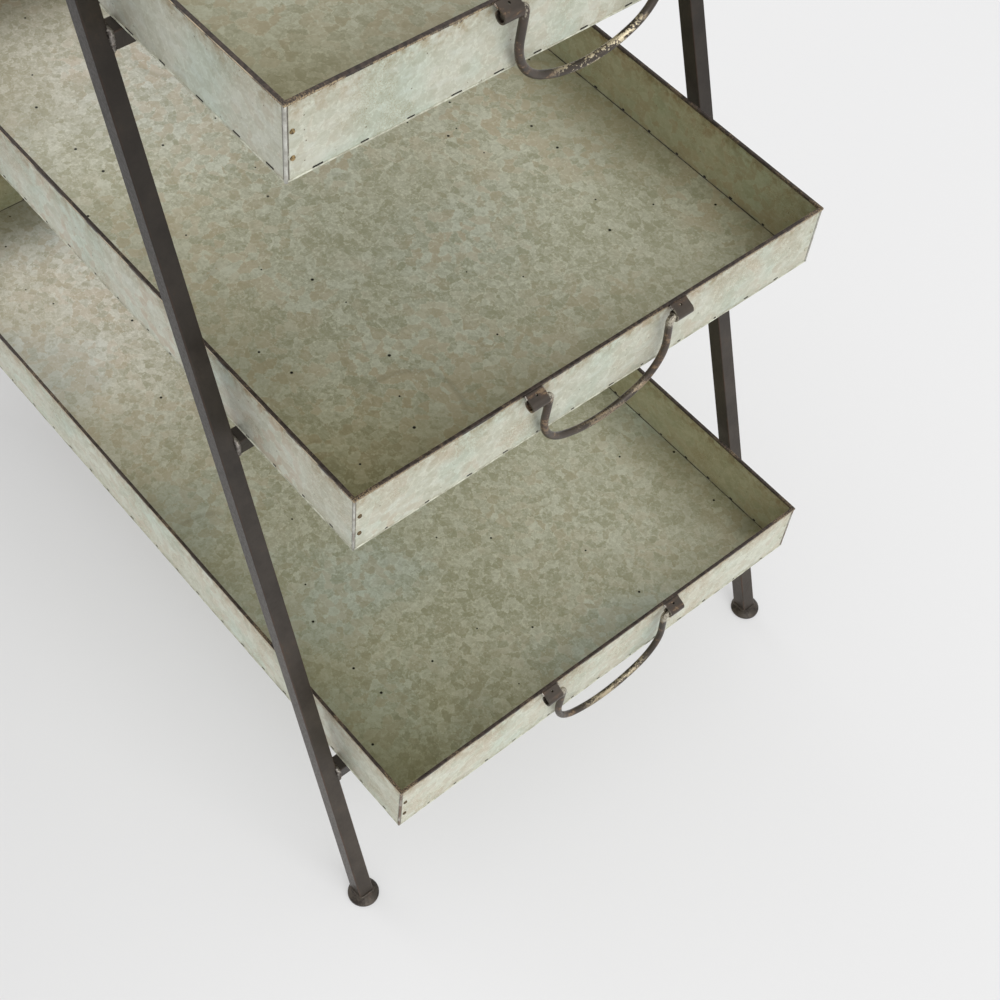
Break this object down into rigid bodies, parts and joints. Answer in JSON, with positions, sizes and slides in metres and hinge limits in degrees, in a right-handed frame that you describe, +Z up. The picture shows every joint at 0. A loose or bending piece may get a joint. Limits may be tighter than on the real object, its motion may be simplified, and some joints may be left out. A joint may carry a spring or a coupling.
{
  "type": "tiered plant stand with lift-off trays",
  "caption": "Tiered plant stand: two A-shaped side frames of square bar with round feet carry stacked rectangular galvanised trays with swinging bail handles.",
  "frame": {"origin": "on the floor at the centre of the stand's footprint", "axes": "+Z up; the trays are long in X, and the side frames stand at the front (-Y) and the back (+Y)"},
  "size_m": [0.8152, 0.519, 1.02],
  "materials": {
    "frame_iron": "satin dark bronze paint",
    "galvanised_sheet": "weathered zinc with spangle",
    "rim_iron": "dark bronze, worn to a rusty gold line",
    "handle_iron": "dark bronze, worn to brass on the grip",
    "rivets": "rusty"
  },
  "bodies": {
    "frame": {"apex_rail": "frame_iron", "leg_front_left": "frame_iron", "leg_front_right": "frame_iron", "leg_back_left": "frame_iron", "leg_back_right": "frame_iron", "foot_front_left": "frame_iron", "foot_front_right": "frame_iron", "foot_back_left": "frame_iron", "foot_back_right": "frame_iron", "bottom_tray_rail_left": "frame_iron", "bottom_tray_rail_right": "frame_iron", "middle_tray_rail_left": "frame_iron", "middle_tray_rail_right": "frame_iron", "top_tray_rail_left": "frame_iron", "top_tray_rail_right": "frame_iron"},
    "bottom_tray": {"bottom_tray_floor": "galvanised_sheet", "bottom_tray_front_wall": "galvanised_sheet", "bottom_tray_back_wall": "galvanised_sheet", "bottom_tray_left_wall": "galvanised_sheet", "bottom_tray_right_wall": "galvanised_sheet", "bottom_tray_rim": "rim_iron", "bottom_tray_corner_rivets": "rivets", "bottom_tray_studs": "handle_iron", "bottom_tray_left_brackets": "handle_iron", "bottom_tray_right_brackets": "handle_iron", "bottom_tray_corner_flanges": "galvanised_sheet"},
    "bottom_tray_left_handle": {"bottom_tray_left_handle": "handle_iron"},
    "bottom_tray_right_handle": {"bottom_tray_right_handle": "handle_iron"},
    "middle_tray": {"middle_tray_floor": "galvanised_sheet", "middle_tray_front_wall": "galvanised_sheet", "middle_tray_back_wall": "galvanised_sheet", "middle_tray_left_wall": "galvanised_sheet", "middle_tray_right_wall": "galvanised_sheet", "middle_tray_rim": "rim_iron", "middle_tray_corner_rivets": "rivets", "middle_tray_studs": "handle_iron", "middle_tray_left_brackets": "handle_iron", "middle_tray_right_brackets": "handle_iron", "middle_tray_corner_flanges": "galvanised_sheet"},
    "middle_tray_left_handle": {"middle_tray_left_handle": "handle_iron"},
    "middle_tray_right_handle": {"middle_tray_right_handle": "handle_iron"},
    "top_tray": {"top_tray_floor": "galvanised_sheet", "top_tray_front_wall": "galvanised_sheet", "top_tray_back_wall": "galvanised_sheet", "top_tray_left_wall": "galvanised_sheet", "top_tray_right_wall": "galvanised_sheet", "top_tray_rim": "rim_iron", "top_tray_corner_rivets": "rivets", "top_tray_studs": "handle_iron", "top_tray_left_brackets": "handle_iron", "top_tray_right_brackets": "handle_iron", "top_tray_corner_flanges": "galvanised_sheet"},
    "top_tray_left_handle": {"top_tray_left_handle": "handle_iron"},
    "top_tray_right_handle": {"top_tray_right_handle": "handle_iron"}
  },
  "joints": [
    {"name": "bottom_tray_lift", "type": "slide", "parent": "frame", "child": "bottom_tray", "axis": [0, 0, 1], "range_m": [0, 0.15]},
    {"name": "bottom_tray_left_handle_swing", "type": "hinge", "parent": "bottom_tray", "child": "bottom_tray_left_handle", "pos_m": [-0.403, 0, 0.207], "axis": [0, 1, 0], "range_deg": [0, 190]},
    {"name": "bottom_tray_right_handle_swing", "type": "hinge", "parent": "bottom_tray", "child": "bottom_tray_right_handle", "pos_m": [0.403, 0, 0.207], "axis": [0, -1, 0], "range_deg": [0, 190]},
    {"name": "middle_tray_lift", "type": "slide", "parent": "frame", "child": "middle_tray", "axis": [0, 0, 1], "range_m": [0, 0.15]},
    {"name": "middle_tray_left_handle_swing", "type": "hinge", "parent": "middle_tray", "child": "middle_tray_left_handle", "pos_m": [-0.335, 0, 0.534], "axis": [0, 1, 0], "range_deg": [0, 190]},
    {"name": "middle_tray_right_handle_swing", "type": "hinge", "parent": "middle_tray", "child": "middle_tray_right_handle", "pos_m": [0.335, 0, 0.534], "axis": [0, -1, 0], "range_deg": [0, 190]},
    {"name": "top_tray_lift", "type": "slide", "parent": "frame", "child": "top_tray", "axis": [0, 0, 1], "range_m": [0, 0.15]},
    {"name": "top_tray_left_handle_swing", "type": "hinge", "parent": "top_tray", "child": "top_tray_left_handle", "pos_m": [-0.267, 0, 0.829], "axis": [0, 1, 0], "range_deg": [0, 190]},
    {"name": "top_tray_right_handle_swing", "type": "hinge", "parent": "top_tray", "child": "top_tray_right_handle", "pos_m": [0.267, 0, 0.829], "axis": [0, -1, 0], "range_deg": [0, 190]}
  ]
}
